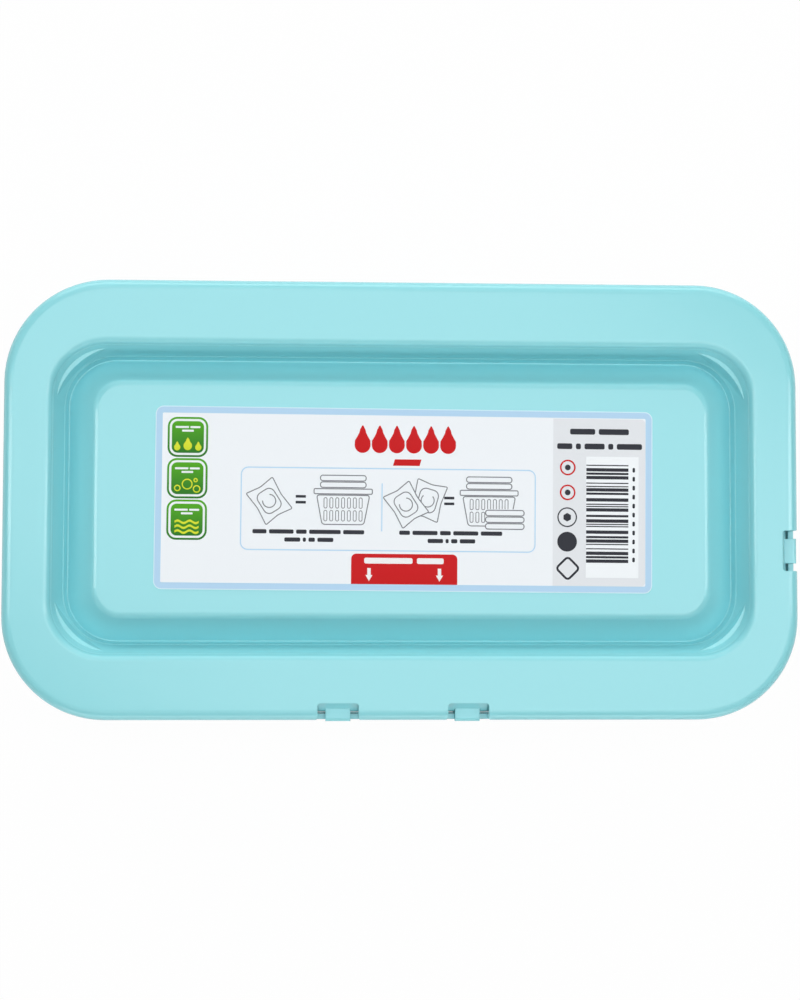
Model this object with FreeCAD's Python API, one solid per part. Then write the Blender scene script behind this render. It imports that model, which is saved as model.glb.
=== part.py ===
"""Laundry pod tub: a moulded tub with a hinged snap lid, a label and a fill of pods.

Frame: origin on the ground under the middle of the lid, +X along the long side,
+Y to the rear (hinge) side, +Z up. Millimetres.
"""
import FreeCAD, Part
import math
import os
from FreeCAD import Vector

os.makedirs("parts", exist_ok=True)

# Overall size
lid_length = 220.0
lid_width = 121.3
total_height = 66.0
corner_radius = 28.5

# Lid shell
lid_wall = 1.5
skirt_wall = 1.5
skirt_height = 13.0
rim_round = 3.0

# Stacking recess in the lid, set in from the outline by the rim
rim_end = 12.75
rim_side = 17.4
mouth_radius = 15.0
mouth_round = 1.8
lip_depth = 2.0
lip_run = 0.7
lip_step = 0.12
wall_run = 2.2
wall_foot_radius = 14.4
wall_depth = 8.5
groove_step = 0.15
groove_run = 0.7
recess_depth = 11.0
trench_floor = 0.3

# Raised middle panel, set in from the recess mouth
panel_inset_end = 12.1
panel_inset_side = 10.95
panel_radius = 7.5
panel_drop = 3.0
panel_round = 2.4

# Crescent stacking ledges in the recess corners
ledge_drop = 4.0
ledge_radius = 20.0
ledge_reach = 1.2
ledge_draft = 0.8

# Latches: two at the front, one at the right end
latch_window = 11.2
latch_back_radius = 0.8
latch_mouth_radius = 0.8
latch_cut_depth = 4.7
latch_cut_drop = 6.5
tongue_width = 6.9
tongue_drop = 4.5
tongue_wall = 1.4
tongue_round = 1.0
tongue_reach = 0.5
front_latch_offset = 17.9
side_latch_y = -13.8
latch_web_wall = 1.2
latch_web_draft = 2.4
hook_height = 1.6
hook_clearance = 0.3
catch_wall = 1.8
catch_side = 1.0
catch_top_drop = 8.5

# Tub
tub_wall = 1.5
flange_wall = 1.8
flange_clearance = 0.5
seat_gap = 0.2
tub_inset = 6.7
tub_taper = 3.25
tub_base_round = 3.0
foot_height = 9.5
foot_wall = 2.2
foot_clearance = 0.6

# Rear hinge
pin_radius = 1.6
pin_clearance = 0.08
knuckle_radius = 2.8
knuckle_width = 12.0
hinge_end_margin = 38.0
hinge_side_gap = 0.4
ear_wall = 2.4
ear_radius = 2.5
hinge_swing_gap = 0.6

# Label on the panel, set in from the panel's edge
label_end_margin = 16.15
label_side_margin = 7.0
label_radius = 2.2
label_wall = 0.12
label_turn = -0.4
label_x = 0.4
label_y = 0.0

# Pods
pod_length = 32.0
pod_width = 29.0
pod_height = 14.0
pod_corner = 8.0
pod_round = 5.0
pod_seam_height = 5.0
pod_seam_wall = 0.8
pod_seam_lip = 2.0
pod_end_gap = 8.5
pod_side_gap = 1.2
pod_columns = 5
pod_rows = 3
pod_layers = 2
pod_turn = 4.0
pod_turn_step = 2.4

# Worked-out places
lid_under = total_height - lid_wall
skirt_bottom = total_height - skirt_height
flange_top = lid_under - seat_gap
flange_bottom = flange_top - flange_wall
half_length = lid_length / 2
half_width = lid_width / 2
mouth_length = lid_length - 2 * rim_end
mouth_width = lid_width - 2 * rim_side
panel_length = mouth_length - 2 * panel_inset_end
panel_width = mouth_width - 2 * panel_inset_side
label_length = panel_length - 2 * label_end_margin
label_width = panel_width - 2 * label_side_margin
hinge_offset = half_length - hinge_end_margin
foot_floor = foot_height + tub_wall
hinge_y = half_width - knuckle_radius
hinge_z = skirt_bottom + knuckle_radius
wall_bottom = total_height - wall_depth
recess_floor = total_height - recess_depth
pan_bottom = recess_floor - lid_wall
cut_margin = 10.0
tolerance = 0.01


def rounded_wire(length, width, radius, z):
    """Closed rounded rectangle in the plane at height z, centred on the origin."""
    a = length / 2
    b = width / 2
    r = radius
    k = r * (1 - math.sqrt(0.5))
    edges = []
    for sx, sy, first_x in ((1, 1, True), (-1, 1, False), (-1, -1, True), (1, -1, False)):
        along_x = Vector(sx * (a - r), sy * b, z)
        along_y = Vector(sx * a, sy * (b - r), z)
        middle = Vector(sx * (a - k), sy * (b - k), z)
        start, end = (along_y, along_x) if first_x else (along_x, along_y)
        edges.append(Part.Arc(start, middle, end).toShape())
    closed = []
    for i, arc in enumerate(edges):
        following = edges[(i + 1) % 4]
        closed.append(arc)
        closed.append(Part.makeLine(arc.lastVertex().Point, following.firstVertex().Point))
    return Part.Wire(closed)


def block(length, width, radius, low, high):
    """Upright prism with a rounded rectangular outline."""
    base = Part.Face(rounded_wire(length, width, radius, low))
    return base.extrude(Vector(0, 0, high - low))


def frustum(top, bottom, high, low):
    """Tapered solid between two rounded rectangles given as (length, width, radius)."""
    return Part.makeLoft([rounded_wire(*bottom, low), rounded_wire(*top, high)], True, True)


def box(x_low, x_high, y_low, y_high, z_low, z_high):
    """Box between two corners."""
    corner = Vector(x_low, y_low, z_low)
    return Part.makeBox(x_high - x_low, y_high - y_low, z_high - z_low, corner)


def edges_at(shape, z, half_x, half_y):
    """Edges lying in the plane at height z, inside the given half sizes."""
    found = []
    for edge in shape.Edges:
        bounds = edge.BoundBox
        flat = abs(bounds.ZMin - z) < tolerance and abs(bounds.ZMax - z) < tolerance
        inside = max(abs(bounds.XMin), abs(bounds.XMax)) < half_x
        inside = inside and max(abs(bounds.YMin), abs(bounds.YMax)) < half_y
        if flat and inside:
            found.append(edge)
    return found


def grown(size, by):
    """A rounded rectangle's (length, width, radius) moved outwards by a distance."""
    return (size[0] + 2 * by, size[1] + 2 * by, size[2] + by)


mouth = (mouth_length, mouth_width, mouth_radius)
lip_foot = grown(mouth, -lip_run)
wall_top = grown(lip_foot, -lip_step)
wall_foot = (wall_top[0] - 2 * wall_run, wall_top[1] - 2 * wall_run, wall_foot_radius)
panel = (panel_length, panel_width, panel_radius)
groove_top = grown(wall_foot, -groove_step)
groove_foot = grown(groove_top, -groove_run)
panel_foot = grown(groove_foot, -trench_floor)
outline = (lid_length, lid_width, corner_radius)
flange_outline = grown(outline, -(skirt_wall + flange_clearance))
tub_top = grown(outline, -tub_inset)
tub_base = grown(tub_top, -tub_taper)
tub_floor = grown(tub_base, -tub_wall)
pod_pitch_x = (tub_floor[0] - 2 * pod_end_gap) / pod_columns
pod_pitch_y = (tub_floor[1] - 2 * pod_side_gap) / pod_rows


def latch_places():
    """Placement of each latch: outer face at the origin, pointing along -Y."""
    places = []
    for side in (-1, 1):
        places.append(FreeCAD.Placement(Vector(side * front_latch_offset, -half_width, 0), FreeCAD.Rotation()))
    quarter = FreeCAD.Rotation(Vector(0, 0, 1), 90)
    places.append(FreeCAD.Placement(Vector(half_length, side_latch_y, 0), quarter))
    return places


def placed(shape, placement):
    """Copy of a shape moved by a placement."""
    copy = shape.copy()
    copy.Placement = placement.multiply(copy.Placement)
    return copy


def recess_cutter():
    """Everything removed from the lid above the pan, apart from the panel and ledges."""
    lip_bottom = total_height - lip_depth
    lip = frustum(mouth, lip_foot, total_height, lip_bottom)
    wall = frustum(wall_top, wall_foot, lip_bottom, wall_bottom)
    groove = frustum(groove_top, groove_foot, wall_bottom, recess_floor)
    return lip.fuse([wall, groove])


def panel_solid(drop, shrink, low):
    """Panel frustum with its top face below the rim, its foot at a low level."""
    high = total_height - panel_drop - drop
    return frustum(grown(panel, -shrink), grown(panel_foot, -shrink), high, low)


def corner_ledge():
    """Crescent ledge in the corner at +X +Y of the recess, kept inside the pan's outside."""
    top = total_height - ledge_drop
    share = (ledge_drop - lip_depth) / (wall_depth - lip_depth)
    inset = lip_run + lip_step + wall_run * share
    radius_there = wall_top[2] + (wall_foot_radius - wall_top[2]) * share
    arc_centre_x = mouth_length / 2 - inset - radius_there
    arc_centre_y = mouth_width / 2 - inset - radius_there
    diagonal = radius_there - ledge_reach - ledge_radius
    centre_x = arc_centre_x + diagonal * math.sqrt(0.5)
    centre_y = arc_centre_y + diagonal * math.sqrt(0.5)
    narrow = ledge_radius - ledge_draft
    height = top - wall_bottom
    pocket = Part.makeCone(narrow, ledge_radius, height, Vector(centre_x, centre_y, wall_bottom))
    corner_x = mouth_length / 2
    corner_y = mouth_width / 2
    corner = box(corner_x - ledge_radius, corner_x, corner_y - ledge_radius, corner_y, wall_bottom, top)
    return corner.common(lid_pan()).cut(pocket)


def lid_pan():
    """Outside of the pan: the recess grown by the wall, closed below the trench."""
    side_wall = lid_wall * math.hypot(wall_run, wall_depth) / wall_depth
    pan_waist = grown(wall_foot, side_wall)
    upper = frustum(grown(mouth, side_wall), pan_waist, total_height, wall_bottom)
    lower = frustum(pan_waist, grown(groove_foot, side_wall), wall_bottom, pan_bottom)
    within = box(-half_length, half_length, -half_width, half_width, pan_bottom, lid_under)
    return upper.fuse(lower).common(within)


def latch_cutter():
    """Window through the rim and the top of the skirt, round at its back and mouth corners."""
    half = latch_window / 2
    depth = latch_cut_depth
    back = latch_back_radius
    flare = latch_mouth_radius
    swing = 1 - math.sqrt(0.5)
    edges = []
    for side in (-1, 1):
        outer = Vector(side * (half + flare), -cut_margin, 0)
        flare_start = Vector(side * (half + flare), 0, 0)
        flare_middle = Vector(side * (half + flare * swing), flare * swing, 0)
        flare_end = Vector(side * half, flare, 0)
        back_start = Vector(side * half, depth - back, 0)
        back_middle = Vector(side * (half - back * swing), depth - back * swing, 0)
        back_end = Vector(side * (half - back), depth, 0)
        edges.append(Part.makeLine(outer, flare_start))
        edges.append(Part.Arc(flare_start, flare_middle, flare_end).toShape())
        edges.append(Part.makeLine(flare_end, back_start))
        edges.append(Part.Arc(back_start, back_middle, back_end).toShape())
    edges.append(Part.makeLine(Vector(half - back, depth, 0), Vector(back - half, depth, 0)))
    edges.append(Part.makeLine(Vector(-half - flare, -cut_margin, 0), Vector(half + flare, -cut_margin, 0)))
    outline_wire = Part.Wire(Part.__sortEdges__(edges))
    window = Part.Face(outline_wire).extrude(Vector(0, 0, latch_cut_drop + cut_margin))
    window.translate(Vector(0, 0, total_height - latch_cut_drop))
    return window


def latch_web():
    """Drafted rear wall of a latch window, with the tongue that bridges to the skirt."""
    half = latch_window / 2
    top = total_height
    tongue_top = total_height - tongue_drop
    low = tongue_top - tongue_wall
    back = latch_cut_depth + latch_web_wall
    profile = [
        Vector(-half, back, top - lid_wall),
        Vector(-half, latch_cut_depth, top - lid_wall),
        Vector(-half, latch_cut_depth - latch_web_draft, low),
        Vector(-half, back - latch_web_draft, low),
    ]
    web = Part.Face(Part.makePolygon(profile + [profile[0]])).extrude(Vector(latch_window, 0, 0))
    side = tongue_width / 2
    bridge = box(-side, side, -tongue_reach, back - latch_web_draft, low, tongue_top)
    outer = []
    for edge in bridge.Edges:
        bounds = edge.BoundBox
        if bounds.YMax < tolerance - tongue_reach and bounds.ZMin > tongue_top - tolerance:
            outer.append(edge)
    bridge = bridge.makeFillet(tongue_round, outer)
    drop = box(-side, side, -tongue_reach, skirt_wall, total_height - latch_cut_drop, low + tongue_wall / 4)
    hook_top = total_height - catch_top_drop - catch_wall - hook_clearance
    hook_reach = skirt_wall + flange_clearance + latch_web_wall
    hook_profile = [
        Vector(-side, skirt_wall / 2, hook_top),
        Vector(-side, hook_reach, hook_top),
        Vector(-side, skirt_wall / 2, hook_top - hook_height),
    ]
    hook = Part.Face(Part.makePolygon(hook_profile + [hook_profile[0]])).extrude(Vector(tongue_width, 0, 0))
    return web.fuse([bridge, drop, hook])


def hinge_knuckle(x):
    """Barrel of the lid around the hinge pin, joined to the rear skirt."""
    start = Vector(x - knuckle_width / 2, hinge_y, hinge_z)
    barrel = Part.makeCylinder(knuckle_radius, knuckle_width, start, Vector(1, 0, 0))
    stem = box(start.x, start.x + knuckle_width, half_width - skirt_wall, half_width,
               hinge_z, hinge_z + 2 * knuckle_radius)
    return barrel.fuse(stem)


def hinge_window(x):
    """Clear space cut from the rear skirt for the tub's two ears at one knuckle."""
    gap = ear_wall + 2 * hinge_side_gap
    high = hinge_z + ear_radius + hinge_swing_gap
    cutters = []
    for side in (-1, 1):
        edge = x + side * knuckle_width / 2
        far = edge + side * gap
        cutters.append(box(min(edge, far), max(edge, far), half_width - cut_margin, half_width + cut_margin,
                           skirt_bottom - cut_margin, high))
    return cutters[0].fuse(cutters[1])


def build_lid():
    """Lid: rim, skirt, stacking pan, latches and hinge barrels in one moulding."""
    shell = block(*outline, skirt_bottom, total_height)
    top_edges = edges_at(shell, total_height, half_length + 1, half_width + 1)
    shell = shell.makeFillet(rim_round, top_edges)
    hollow = block(*grown(outline, -skirt_wall), skirt_bottom - 1, lid_under)
    body = shell.cut(hollow).fuse(lid_pan()).removeSplitter()
    body = body.cut(recess_cutter())
    mouth_edges = edges_at(body, total_height, mouth_length / 2 + tolerance, mouth_width / 2 + tolerance)
    body = body.makeFillet(mouth_round, mouth_edges)
    raised = panel_solid(0, 0, recess_floor)
    top_loop = edges_at(raised, total_height - panel_drop, panel_length, panel_width)
    raised = raised.makeFillet(panel_round, top_loop)
    body = body.fuse(raised)
    for sx in (-1, 1):
        for sy in (-1, 1):
            ledge = corner_ledge()
            if sx < 0:
                ledge = ledge.mirror(Vector(0, 0, 0), Vector(1, 0, 0))
            if sy < 0:
                ledge = ledge.mirror(Vector(0, 0, 0), Vector(0, 1, 0))
            body = body.fuse(ledge)
    body = body.cut(panel_solid(lid_wall, lid_wall, pan_bottom - tolerance))
    for place in latch_places():
        body = body.cut(placed(latch_cutter(), place))
        body = body.fuse(placed(latch_web(), place))
    rear_relief = box(-half_length + corner_radius, half_length - corner_radius, hinge_y, half_width + 1,
                      skirt_bottom - 1, hinge_z)
    body = body.cut(rear_relief)
    for side in (-1, 1):
        x = side * hinge_offset
        body = body.cut(hinge_window(x)).fuse(hinge_knuckle(x))
    bore_radius = pin_radius + pin_clearance
    bore = Part.makeCylinder(bore_radius, lid_length, Vector(-half_length, hinge_y, hinge_z), Vector(1, 0, 0))
    for side in (-1, 1):
        x = side * hinge_offset
        span = box(x - knuckle_width / 2 - 1, x + knuckle_width / 2 + 1, hinge_y - knuckle_radius,
                   half_width, hinge_z - knuckle_radius, hinge_z + knuckle_radius)
        body = body.cut(bore.common(span))
    return body.removeSplitter()


def hinge_ear(x):
    """One ear of the tub that carries an end of the pin, from the body to the axis."""
    wall_y = half_width - tub_inset - tub_wall / 2
    start = Vector(x, hinge_y, hinge_z)
    eye = Part.makeCylinder(ear_radius, ear_wall, start, Vector(1, 0, 0))
    profile = [
        Vector(x, hinge_y, hinge_z - ear_radius),
        Vector(x, hinge_y - hinge_swing_gap, hinge_z + ear_radius),
        Vector(x, wall_y, flange_bottom + flange_wall / 2),
        Vector(x, wall_y, hinge_z - 2 * ear_radius),
    ]
    arm = Part.Face(Part.makePolygon(profile + [profile[0]])).extrude(Vector(ear_wall, 0, 0))
    return eye.fuse(arm)


def hinge_on_tub(x):
    """Pair of ears with the pin between them."""
    inner = knuckle_width / 2 + hinge_side_gap
    left = hinge_ear(x - inner - ear_wall)
    right = hinge_ear(x + inner)
    start = Vector(x - inner - ear_wall / 2, hinge_y, hinge_z)
    pin = Part.makeCylinder(pin_radius, 2 * inner + ear_wall, start, Vector(1, 0, 0))
    return left.fuse([right, pin])


def latch_pocket():
    """Space cut from the flange for the lid's latch, out from the tub's wall."""
    half = latch_window / 2 + catch_side
    return box(-half, half, -cut_margin, tub_inset + tub_wall / 2, flange_bottom - 1, flange_top + 1)


def latch_catch():
    """Low catch ledge under one latch, from the tub's wall out to the flange line."""
    half = latch_window / 2 + catch_side
    top = total_height - catch_top_drop
    outer = skirt_wall + flange_clearance
    return box(-half, half, outer, tub_inset + tub_wall / 2, top - catch_wall, top)


def build_tub():
    """Tub: tapered body, rim flange, stacking foot, catches and hinge ears."""
    body = frustum(tub_top, tub_base, flange_top, foot_height)
    base_loop = edges_at(body, foot_height, half_length, half_width)
    body = body.makeFillet(tub_base_round, base_loop)
    flange = block(*flange_outline, flange_bottom, flange_top)
    for place in latch_places():
        flange = flange.cut(placed(latch_pocket(), place))
        body = body.fuse(placed(latch_catch(), place))
    inside = frustum(grown(tub_top, -tub_wall), tub_floor, flange_top, foot_floor)
    floor_loop = edges_at(inside, foot_floor, half_length, half_width)
    inside = inside.makeFillet(tub_base_round - tub_wall / 2, floor_loop)
    body = body.fuse(flange)
    for side in (-1, 1):
        body = body.fuse(hinge_on_tub(side * hinge_offset))
    foot_outer = grown(wall_foot, -foot_clearance)
    foot = block(*foot_outer, 0, foot_height + tub_wall / 2)
    foot = foot.cut(block(*grown(foot_outer, -foot_wall), -1, foot_height + tub_wall))
    body = body.fuse(foot).cut(inside)
    return body.removeSplitter()


def build_label():
    """Thin printed label on the panel."""
    sheet = block(label_length, label_width, label_radius, 0, label_wall)
    turn = FreeCAD.Rotation(Vector(0, 0, 1), label_turn)
    place = FreeCAD.Placement(Vector(label_x, label_y, total_height - panel_drop), turn)
    return placed(sheet, place)


def pod_shape():
    """One pod: a domed pillow with a flat seam around it, standing on z = 0."""
    length = pod_length - 2 * pod_seam_lip
    width = pod_width - 2 * pod_seam_lip
    pillow = block(length, width, pod_corner, 0, pod_height)
    loops = [edge for edge in pillow.Edges if edge.BoundBox.ZLength < tolerance]
    pillow = pillow.makeFillet(pod_round, loops)
    seam = block(pod_length, pod_width, pod_corner, pod_seam_height, pod_seam_height + pod_seam_wall)
    return pillow.fuse(seam).removeSplitter()


def build_pods():
    """Pods in flat layers on the tub's floor, each turned a little."""
    pods = []
    base = pod_shape()
    for layer in range(pod_layers):
        for row in range(pod_rows):
            for column in range(pod_columns):
                x = (column - (pod_columns - 1) / 2) * pod_pitch_x
                y = (row - (pod_rows - 1) / 2) * pod_pitch_y
                z = foot_floor + layer * pod_height
                angle = pod_turn * math.sin(pod_turn_step * (len(pods) + 1))
                place = FreeCAD.Placement(Vector(x, y, z), FreeCAD.Rotation(Vector(0, 0, 1), angle))
                pods.append(placed(base, place))
    return pods


nodes = {"tub_body": build_tub(), "lid": build_lid(), "label": build_label()}
for number, pod in enumerate(build_pods(), start=1):
    nodes[f"pod_{number:02d}"] = pod

for name, shape in nodes.items():
    if len(shape.Solids) != 1 or not shape.isValid():
        print(name, "solids", len(shape.Solids), "valid", shape.isValid())
    shape.exportStep(f"parts/{name}.step")
print("nodes", len(nodes))
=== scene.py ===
"""Looks of a laundry pod tub: glossy moulded shells, a printed label and a fill of pods.

Every length is in metres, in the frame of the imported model. Print on the label is laid out in
millimetres from the label's middle, u to the right and v to the rear.
"""
import logging
import math
from dataclasses import dataclass
from enum import Enum
from typing import Callable, Sequence

import bpy
from mathutils import Euler, Matrix, Vector


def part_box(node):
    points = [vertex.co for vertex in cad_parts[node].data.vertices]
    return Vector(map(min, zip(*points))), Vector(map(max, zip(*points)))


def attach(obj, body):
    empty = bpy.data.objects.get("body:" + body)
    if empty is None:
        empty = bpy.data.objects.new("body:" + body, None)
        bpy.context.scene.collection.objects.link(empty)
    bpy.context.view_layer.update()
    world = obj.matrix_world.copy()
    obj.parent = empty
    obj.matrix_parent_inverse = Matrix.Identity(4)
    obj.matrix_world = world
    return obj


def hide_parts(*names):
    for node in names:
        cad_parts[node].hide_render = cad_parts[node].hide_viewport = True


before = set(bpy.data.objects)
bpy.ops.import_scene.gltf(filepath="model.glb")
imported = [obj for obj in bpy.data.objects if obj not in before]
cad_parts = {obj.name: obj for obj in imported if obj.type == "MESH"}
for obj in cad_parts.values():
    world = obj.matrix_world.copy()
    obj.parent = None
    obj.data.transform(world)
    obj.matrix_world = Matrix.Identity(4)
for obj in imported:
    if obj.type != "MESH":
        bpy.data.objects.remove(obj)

MM = 0.001
Colour = tuple[float, float, float]
Piece = bpy.types.Object
Material = bpy.types.Material
Socket = bpy.types.NodeSocket

log = logging.getLogger("laundry_tub")


class Corner(Enum):
    """Which corners of a printed plate are rounded."""

    ALL = 1
    REAR = 2
    RIGHT = 3


class Body(Enum):
    """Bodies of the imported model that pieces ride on."""

    TUB = "tub"
    LID = "lid"


def linear(red: int, green: int, blue: int) -> Colour:
    """Turns a display colour of 0 to 255 a channel into linear light.

    Args:
        red: display red.
        green: display green.
        blue: display blue.

    Returns:
        The colour in linear light, 0 to 1 a channel.
    """
    def channel(value: int) -> float:
        """Turns one channel into linear light."""
        share = value / 255
        return share / 12.92 if share <= 0.04045 else ((share + 0.055) / 1.055) ** 2.4

    return channel(red), channel(green), channel(blue)


class Tree:
    """A short way to write a shader node tree."""

    def __init__(self, tree: bpy.types.NodeTree) -> None:
        """Keeps the tree that nodes are added to."""
        self.tree = tree

    def add(self, kind: str, values: dict | None = None, **settings) -> bpy.types.Node:
        """Adds a node.

        Args:
            kind: the node's type name, without the word ShaderNode.
            values: a value or a socket to link for each named input.
            settings: properties set on the node.

        Returns:
            The new node.
        """
        node = self.tree.nodes.new("ShaderNode" + kind)
        for name, value in settings.items():
            setattr(node, name, value)
        self.fill(node, values or {})
        return node

    def fill(self, node: bpy.types.Node, values: dict) -> None:
        """Feeds several inputs of a node.

        Args:
            node: the node.
            values: a value or a socket to link for each named input.
        """
        for name, value in values.items():
            self.feed(node.inputs[name], value)

    def feed(self, socket: Socket, value: object) -> None:
        """Links a socket to another, or sets its plain value.

        Args:
            socket: the input that is fed.
            value: an output socket, a number or a colour.
        """
        if isinstance(value, Socket):
            self.tree.links.new(value, socket)
        elif isinstance(value, tuple) and len(value) == 3 and socket.type == "RGBA":
            socket.default_value = (*value, 1.0)
        else:
            socket.default_value = value

    def math(self, operation: str, first: object, second: object = 0.0) -> Socket:
        """Adds a Math node.

        Args:
            operation: the Math operation.
            first: its first number or socket.
            second: its second number or socket.

        Returns:
            The node's output.
        """
        return self.add("Math", {0: first, 1: second}, operation=operation).outputs[0]

    def blend(self, factor: object, low: object, high: object) -> Socket:
        """Mixes two colours.

        Args:
            factor: share of the second colour.
            low: the first colour or socket.
            high: the second colour or socket.

        Returns:
            The mixed colour.
        """
        return self.add("MixRGB", {"Fac": factor, "Color1": low, "Color2": high}).outputs[0]

    def noise(self, place: Socket, scale: float, detail: float) -> Socket:
        """Adds a soft noise.

        Args:
            place: where it is looked up.
            scale: how fine it is, for each metre.
            detail: how many finer layers it has.

        Returns:
            The noise, about 0.5 on average.
        """
        return self.add("TexNoise", {"Vector": place, "Scale": scale, "Detail": detail}).outputs["Fac"]


def new_group(name: str, inputs: dict[str, object]) -> tuple[Tree, bpy.types.Node, bpy.types.Node]:
    """Starts a shader node group that gives a colour, a roughness and a height.

    Args:
        name: the group's name.
        inputs: default of each input, a colour or a number.

    Returns:
        The group's tree, its Group Input node and its Group Output node.
    """
    tree = bpy.data.node_groups.new(name, "ShaderNodeTree")
    for label, default in inputs.items():
        is_colour = isinstance(default, tuple)
        kind = "NodeSocketColor" if is_colour else "NodeSocketFloat"
        socket = tree.interface.new_socket(name=label, in_out="INPUT", socket_type=kind)
        socket.default_value = (*default, 1.0) if is_colour else default
    for label, kind in (("Color", "NodeSocketColor"), ("Roughness", "NodeSocketFloat"),
                        ("Height", "NodeSocketFloat")):
        tree.interface.new_socket(name=label, in_out="OUTPUT", socket_type=kind)
    return Tree(tree), tree.nodes.new("NodeGroupInput"), tree.nodes.new("NodeGroupOutput")


def moulded_skin_group() -> bpy.types.NodeTree:
    """Builds the shared skin of moulded plastic: slow colour drift, tiny scuffs and fine ripple.

    Returns:
        The node group.
    """
    name = "moulded_skin"
    if name in bpy.data.node_groups:
        return bpy.data.node_groups[name]
    slow_scale, cell_scale, ragged_scale, fine_scale, ripple_scale = 18.0, 62.0, 2600.0, 420.0, 150.0
    bare_cells, scuff_radius = 0.86, 0.024
    roughness_swing, scuff_roughness, fine_height = 0.10, 0.3, 0.2
    grey, dark = (0.5, 0.5, 0.5), (0.3, 0.3, 0.3)
    defaults = {"Color": grey, "Drift Color": grey, "Scuff Color": dark,
                "Drift": 0.3, "Scuff": 1.0, "Roughness": 0.3}
    group, start, result = new_group(name, defaults)
    given = start.outputs
    place = group.add("TexCoord").outputs["Object"]
    share = group.math("MULTIPLY", group.noise(place, slow_scale, 2.0), given["Drift"])
    skin = group.blend(share, given["Color"], given["Drift Color"])
    cells = group.add("TexVoronoi", {"Vector": place, "Scale": cell_scale, "Randomness": 1.0}).outputs
    chance = group.add("SeparateColor", {0: cells["Color"]}).outputs[0]
    pick = group.math("GREATER_THAN", chance, bare_cells)
    dot = group.math("LESS_THAN", cells["Distance"], scuff_radius)
    depth = group.math("MULTIPLY", group.noise(place, ragged_scale, 1.0), given["Scuff"])
    scuff = group.math("MULTIPLY", group.math("MULTIPLY", pick, dot), depth)
    fine = group.noise(place, fine_scale, 3.0)
    spread = group.math("MULTIPLY", group.math("SUBTRACT", fine, 0.5), roughness_swing)
    uneven = group.math("ADD", given["Roughness"], spread)
    ripple = group.noise(place, ripple_scale, 1.0)
    swell = group.math("ADD", ripple, group.math("MULTIPLY", fine, fine_height))
    group.fill(result, {
        "Color": group.blend(scuff, skin, given["Scuff Color"]),
        "Roughness": group.math("ADD", uneven, group.math("MULTIPLY", scuff, scuff_roughness)),
        "Height": group.math("SUBTRACT", swell, scuff),
    })
    return group.tree


def print_grain_group() -> bpy.types.NodeTree:
    """Builds the shared grain of printed film: dots of ink and a faint sheen change.

    Returns:
        The node group.
    """
    name = "print_grain"
    if name in bpy.data.node_groups:
        return bpy.data.node_groups[name]
    dot_scale, film_scale, roughness_swing = 5200.0, 60.0, 0.12
    group, start, result = new_group(name, {"Color": (0.5, 0.5, 0.5), "Grain": 0.06, "Roughness": 0.3})
    given = start.outputs
    place = group.add("TexCoord").outputs["Object"]
    share = group.math("MULTIPLY", group.noise(place, dot_scale, 1.0), given["Grain"])
    film = group.noise(place, film_scale, 3.0)
    spread = group.math("MULTIPLY", group.math("SUBTRACT", film, 0.5), roughness_swing)
    group.fill(result, {
        "Color": group.blend(share, given["Color"], (0.0, 0.0, 0.0)),
        "Roughness": group.math("ADD", given["Roughness"], spread),
        "Height": film,
    })
    return group.tree


def principled(name: str) -> tuple[Tree, bpy.types.Node]:
    """Starts a material.

    Args:
        name: the material's name.

    Returns:
        Its tree and its Principled BSDF node.
    """
    material = bpy.data.materials.new(name)
    material.use_nodes = True
    return Tree(material.node_tree), material.node_tree.nodes["Principled BSDF"]


@dataclass(frozen=True)
class MouldedPlastic:
    """Glossy coloured polypropylene."""

    name: str
    colour: Colour
    drift_colour: Colour
    scuff_colour: Colour
    drift: float = 0.35
    scuff: float = 0.8
    roughness: float = 0.19
    ripple: float = 0.03
    edge_round: float = 0.3 * MM

    def make(self) -> Material:
        """Builds the material from the shared skin group, with every small edge softened.

        Returns:
            The material.
        """
        tree, shader = principled(self.name)
        look = {"Color": self.colour, "Drift Color": self.drift_colour, "Scuff Color": self.scuff_colour,
                "Drift": self.drift, "Scuff": self.scuff, "Roughness": self.roughness}
        skin = tree.add("Group", look, node_tree=moulded_skin_group())
        soft = tree.add("Bevel", {"Radius": self.edge_round}, samples=6)
        bump = tree.add("Bump", {"Height": skin.outputs["Height"], "Strength": self.ripple, "Distance": MM,
                                 "Normal": soft.outputs["Normal"]})
        tree.fill(shader, {"Base Color": skin.outputs["Color"], "Roughness": skin.outputs["Roughness"],
                           "Normal": bump.outputs["Normal"]})
        return bpy.data.materials[self.name]


@dataclass(frozen=True)
class Ink:
    """One printed colour, or a blend from a front colour to a rear colour over each plate."""

    name: str
    colour: Colour
    rear_colour: Colour | None = None
    grain: float = 0.05
    roughness: float = 0.42
    sheen_level: float = 0.12
    relief: float = 0.05

    def make(self) -> Material:
        """Builds the material from the shared print group.

        Returns:
            The material.
        """
        tree, shader = principled(self.name)
        colour = self.colour
        if self.rear_colour is not None:
            across = tree.add("SeparateXYZ", {"Vector": tree.add("TexCoord").outputs["UV"]})
            colour = tree.blend(across.outputs["Y"], self.colour, self.rear_colour)
        look = {"Color": colour, "Grain": self.grain, "Roughness": self.roughness}
        skin = tree.add("Group", look, node_tree=print_grain_group())
        bump = tree.add("Bump", {"Height": skin.outputs["Height"], "Strength": self.relief, "Distance": MM})
        tree.fill(shader, {"Base Color": skin.outputs["Color"], "Roughness": skin.outputs["Roughness"],
                           "Normal": bump.outputs["Normal"], "Specular IOR Level": self.sheen_level})
        return bpy.data.materials[self.name]


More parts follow.
